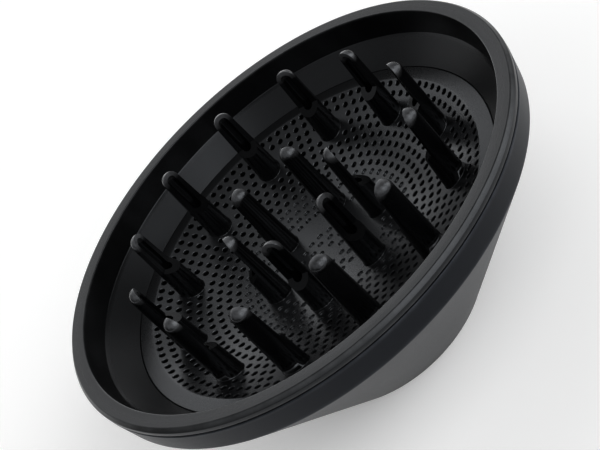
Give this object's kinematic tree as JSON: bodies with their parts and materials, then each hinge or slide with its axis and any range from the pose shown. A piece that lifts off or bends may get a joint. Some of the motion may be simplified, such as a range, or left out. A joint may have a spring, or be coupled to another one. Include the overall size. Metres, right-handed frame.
{
  "type": "hair dryer diffuser",
  "caption": "Round finger diffuser for a hair dryer: conical shell, flat rim and a perforated bowl with upright hollow fingers.",
  "frame": {"origin": "middle of the neck's flat rear face", "axes": "+Z along the dish's axis, from the neck towards the fingers; +X towards the first finger"},
  "size_m": [0.1392, 0.1392, 0.0571],
  "materials": {
    "shell": "fine-grained dark grey moulded plastic",
    "ring": "fine-grained dark grey moulded plastic",
    "grille": "fine-grained dark grey moulded plastic",
    "finger": "polished black plastic",
    "collar": "satin black plastic",
    "grip": "soft black elastomer"
  },
  "bodies": {
    "root": {"rear_shell": "shell", "front_ring": "ring", "grille": "grille", "outer_finger_01": "finger", "outer_finger_02": "finger", "outer_finger_03": "finger", "outer_finger_04": "finger", "outer_finger_05": "finger", "outer_finger_06": "finger", "outer_finger_07": "finger", "outer_finger_08": "finger", "outer_finger_09": "finger", "outer_finger_10": "finger", "outer_finger_11": "finger", "outer_finger_12": "finger", "inner_finger_1": "finger", "inner_finger_2": "finger", "inner_finger_3": "finger", "inner_finger_4": "finger", "inner_finger_5": "finger", "inner_finger_6": "finger", "coupling_collar": "collar", "grip_ring": "grip"}
  },
  "joints": []
}
